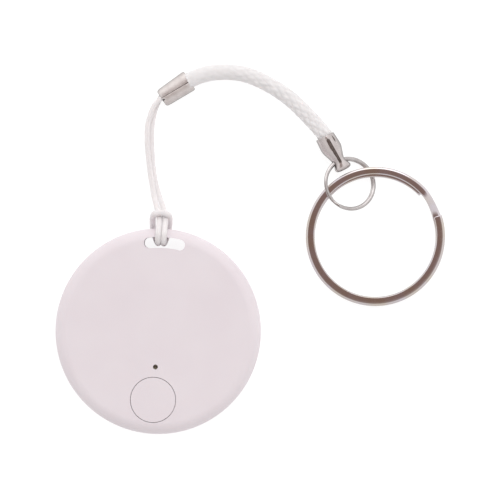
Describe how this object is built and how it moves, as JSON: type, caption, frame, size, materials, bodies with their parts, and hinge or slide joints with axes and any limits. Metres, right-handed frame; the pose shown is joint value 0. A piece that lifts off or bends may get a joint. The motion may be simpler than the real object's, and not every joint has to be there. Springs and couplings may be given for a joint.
{
  "type": "bluetooth tracker tag",
  "caption": "Round white tracker tag with a press button and twist-off cell door, on a corded strap with a jump ring and a key ring.",
  "frame": {"origin": "centre of the round tag's back face, which lies on the surface", "axes": "+Z out of the tag's front face, +Y towards the strap slot, button on the -Y side"},
  "size_m": [0.0748, 0.0729, 0.0091],
  "materials": {
    "shell_plastic": "fine matte, warm white",
    "board": "solder mask",
    "chip_black": "moulded",
    "chip_tan": "fired",
    "lamp_resin": "clear resin",
    "ceramic_white": "fired",
    "sheet_steel": "rolled",
    "sounder_brass": "rolled",
    "separator_paper": "plain",
    "lithium_metal": "soft grey metal",
    "white_cord": "woven nylon",
    "satin_nickel": "satin nickel plate",
    "bright_nickel": "polished nickel plate"
  },
  "bodies": {
    "tag": {"front_shell": "shell_plastic", "rear_shell": "shell_plastic", "circuit_board": "board", "radio_chip": "chip_black", "crystal": "sheet_steel", "chip_antenna": "ceramic_white", "passives": "chip_tan", "status_led": "lamp_resin", "switch_base": "chip_black", "switch_dome": "sheet_steel", "switch_cover": "sheet_steel", "sounder_disc": "sounder_brass", "sounder_ceramic": "ceramic_white", "sounder_contacts": "sounder_brass", "battery_can": "sheet_steel", "battery_gasket": "chip_black", "battery_cap": "sheet_steel", "cathode_pellet": "chip_black", "separator_disc": "separator_paper", "lithium_disc": "lithium_metal", "positive_contact": "sounder_brass", "negative_contact": "sounder_brass"},
    "button": {"button_cap": "shell_plastic", "switch_plunger": "chip_black"},
    "door": {"battery_door": "shell_plastic"},
    "strap": {"loop_cord": "white_cord", "crimp_bead": "satin_nickel", "braided_cord": "white_cord", "cord_end_cap": "bright_nickel"},
    "small_ring": {"jump_ring": "bright_nickel"},
    "large_ring": {"key_ring": "bright_nickel"}
  },
  "joints": [
    {"name": "button_press", "type": "slide", "parent": "tag", "child": "button", "axis": [0, 0, -1], "range_m": [0, 0.0002], "stiffness_N_per_m": 2000, "springref_m": -0.0002, "deforming": ["switch_dome"]},
    {"name": "door_twist", "type": "hinge", "parent": "tag", "child": "door", "pos_m": [0, 0, 0.0006], "axis": [0, 0, 1], "range_deg": [0, 30]},
    {"name": "strap_swing", "type": "hinge", "parent": "tag", "child": "strap", "pos_m": [0, 0.0192, 0.0046], "axis": [1, 0, 0], "range_deg": [-140, 140], "deforming": ["loop_cord"]},
    {"name": "jump_ring_swing", "type": "hinge", "parent": "strap", "child": "small_ring", "pos_m": [0.0327, 0.03565, 0.0023], "axis": [0.8024, 0.4821, -0.3518], "range_deg": [-70, 70]},
    {"name": "key_ring_swing", "type": "hinge", "parent": "small_ring", "child": "large_ring", "pos_m": [0.03513, 0.03168, 0.0023], "axis": [0.8634, 0.5045, 0], "range_deg": [-100, 100]}
  ]
}
